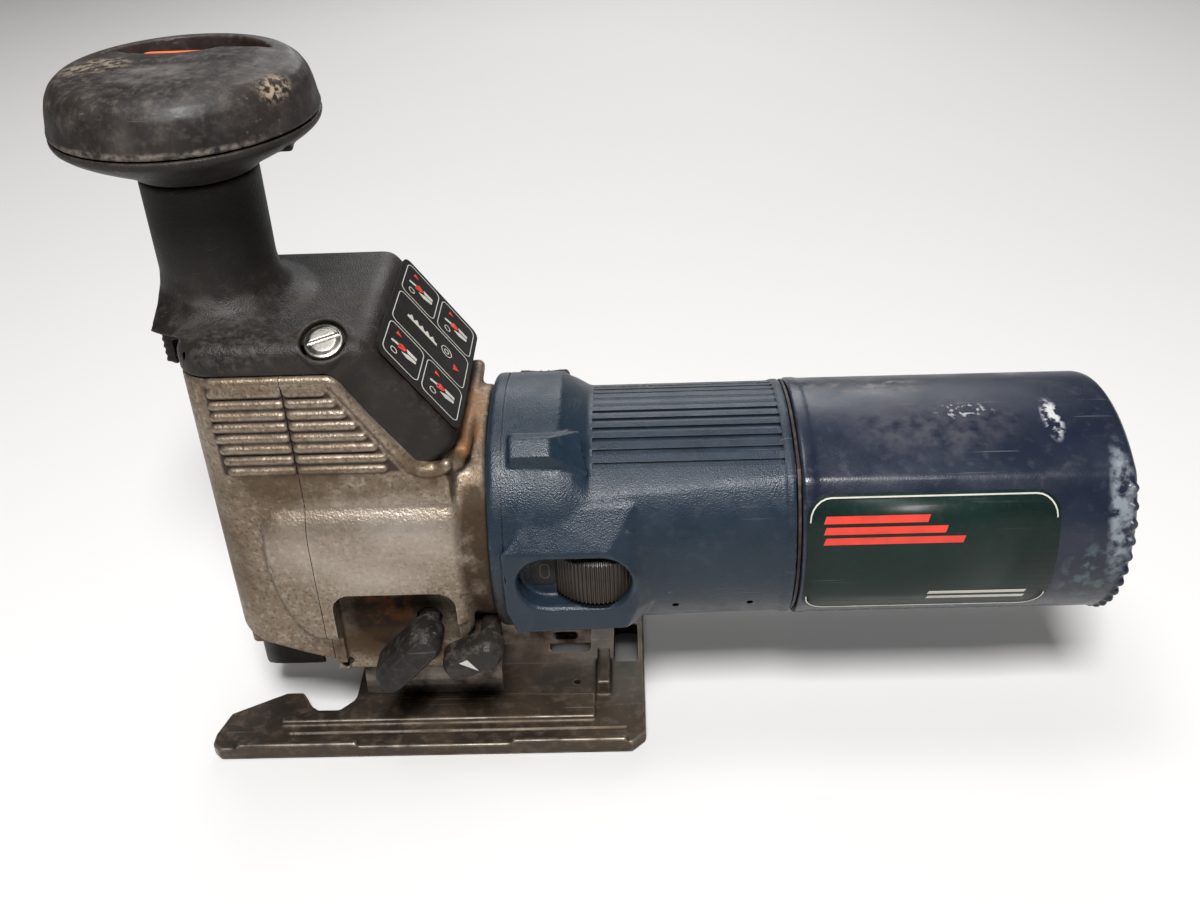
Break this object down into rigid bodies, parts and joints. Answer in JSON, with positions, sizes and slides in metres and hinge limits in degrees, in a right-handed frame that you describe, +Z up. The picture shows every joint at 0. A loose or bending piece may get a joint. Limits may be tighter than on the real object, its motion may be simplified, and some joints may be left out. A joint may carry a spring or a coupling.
{
  "type": "jigsaw",
  "caption": "Barrel-grip electric jigsaw: die-cast gear head with lifting rod and balance weight, knob with folding crank, round motor barrel, tilting steel sole.",
  "frame": {"origin": "middle of the sole plate, on its underside", "axes": "-X is the cutting direction with the gear head in front, +X runs back along the motor barrel, +Y is the far side in the picture, +Z is up"},
  "size_m": [0.2623, 0.0765, 0.1866],
  "materials": {
    "cast": "die-cast, dull, stained in the corners",
    "black_plastic": "moulded, dull",
    "black_rubber": "scuffed and dusty",
    "blue_plastic": "fine moulded texture",
    "blue_cap": "smooth, scratched",
    "steel": "ground",
    "dark_steel": "oiled, brown with rust",
    "orange_plastic": "moulded",
    "copper": "lacquered winding",
    "bronze": "sintered",
    "carbon": "pressed carbon",
    "label": "printed film"
  },
  "bodies": {
    "housing": {"gear_housing": "cast", "front_cover": "cast", "upper_bush": "bronze", "lower_bush": "bronze", "chip_guard": "black_plastic", "top_cover": "black_plastic", "side_screw": "steel", "pictogram_plate": "label", "knob_base": "black_plastic", "gear_axle": "steel", "fork_pin": "steel", "base_clamp_screw": "steel", "base_bracket": "dark_steel", "motor_housing": "blue_plastic", "power_switch": "black_plastic", "speed_module": "black_plastic", "seam_gasket": "black_rubber", "rear_cap": "blue_cap", "nameplate": "label", "cap_screw_near": "steel", "cap_screw_far": "steel", "cable_gland": "black_rubber", "cable_clamp": "black_plastic", "front_bearing": "steel", "rear_bearing": "steel", "field_stack": "dark_steel", "field_coil_upper": "copper", "field_coil_lower": "copper", "bearing_bridge": "black_plastic", "brush_holder_near": "bronze", "brush_holder_far": "bronze", "carbon_brush_near": "carbon", "carbon_brush_far": "carbon"},
    "gear": {"gear_wheel": "steel", "gear_bearing": "steel"},
    "armature": {"armature_shaft": "steel", "armature_core": "dark_steel", "winding_front": "copper", "winding_rear": "copper", "commutator": "copper", "fan": "black_plastic"},
    "rod": {"plunger": "steel", "blade_clamp": "steel"},
    "spindle": {"clamp_spindle": "dark_steel"},
    "balance": {"counterweight": "dark_steel"},
    "knob": {"knob_cap": "black_rubber", "crank_hub": "orange_plastic"},
    "crank": {"crank_arm": "orange_plastic"},
    "driver": {"driver_shaft": "steel", "driver_spring": "steel"},
    "wheel": {"speed_dial": "black_plastic"},
    "switch": {"slide_button": "black_plastic", "switch_link": "black_plastic"},
    "orbit": {"orbit_lever": "black_plastic"},
    "fork": {"roller_fork": "dark_steel", "roller_pin": "steel"},
    "roller": {"back_roller": "steel"},
    "blower": {"blower_lever": "black_plastic"},
    "sole": {"base_plate": "dark_steel", "base_segment": "dark_steel"}
  },
  "joints": [
    {"name": "gear_spin", "type": "hinge", "parent": "housing", "child": "gear", "pos_m": [-0.016, 0, 0.08922], "axis": [1, 0, 0], "continuous": true},
    {"name": "armature_spin", "type": "hinge", "parent": "housing", "child": "armature", "pos_m": [0.084, 0, 0.0623], "axis": [1, 0, 0], "continuous": true},
    {"name": "rod_stroke", "type": "slide", "parent": "housing", "child": "rod", "axis": [0, 0, 1], "range_m": [-0.013, 0.013]},
    {"name": "balance_stroke", "type": "slide", "parent": "housing", "child": "balance", "axis": [0, 0, 1], "range_m": [-0.005, 0.005]},
    {"name": "spindle_turn", "type": "hinge", "parent": "rod", "child": "spindle", "pos_m": [-0.0416, 0, 0.06], "axis": [0, 0, 1], "continuous": true},
    {"name": "knob_turn", "type": "hinge", "parent": "housing", "child": "knob", "pos_m": [-0.0416, 0, 0.1734], "axis": [0, 0, 1], "continuous": true},
    {"name": "crank_fold", "type": "hinge", "parent": "knob", "child": "crank", "pos_m": [-0.0306, 0.012, 0.1813], "axis": [0, 1, 0], "range_deg": [0, 95]},
    {"name": "driver_press", "type": "slide", "parent": "knob", "child": "driver", "axis": [0, 0, 1], "range_m": [-0.0085, 0], "stiffness_N_per_m": 400, "springref_m": 0.002, "deforming": ["driver_spring"]},
    {"name": "wheel_turn", "type": "hinge", "parent": "housing", "child": "wheel", "pos_m": [0.05, -0.0225, 0.059], "axis": [0, 0, 1], "range_deg": [0, 270]},
    {"name": "switch_slide", "type": "slide", "parent": "housing", "child": "switch", "axis": [1, 0, 0], "range_m": [0, 0.007]},
    {"name": "orbit_turn", "type": "hinge", "parent": "housing", "child": "orbit", "pos_m": [0.0034, -0.0295, 0.041], "axis": [0, 1, 0], "range_deg": [0, 54]},
    {"name": "fork_swing", "type": "hinge", "parent": "housing", "child": "fork", "pos_m": [-0.013, 0, 0.038], "axis": [0, 1, 0], "range_deg": [0, 6]},
    {"name": "roller_spin", "type": "hinge", "parent": "fork", "child": "roller", "pos_m": [-0.0298, 0, 0.024], "axis": [0, 1, 0], "continuous": true},
    {"name": "blower_turn", "type": "hinge", "parent": "housing", "child": "blower", "pos_m": [0.0196, -0.0312, 0.0372], "axis": [0, -1, 0], "range_deg": [0, 45]},
    {"name": "sole_tilt", "type": "hinge", "parent": "housing", "child": "sole", "pos_m": [0, 0, 0.0055], "axis": [1, 0, 0], "range_deg": [-30, 30]}
  ],
  "couplings": [
    {"joint": "armature_spin", "follows": "gear_spin", "ratio": -6},
    {"joint": "balance_stroke", "follows": "rod_stroke", "ratio": -0.3846},
    {"joint": "fork_swing", "follows": "orbit_turn", "ratio": 0.1111}
  ]
}
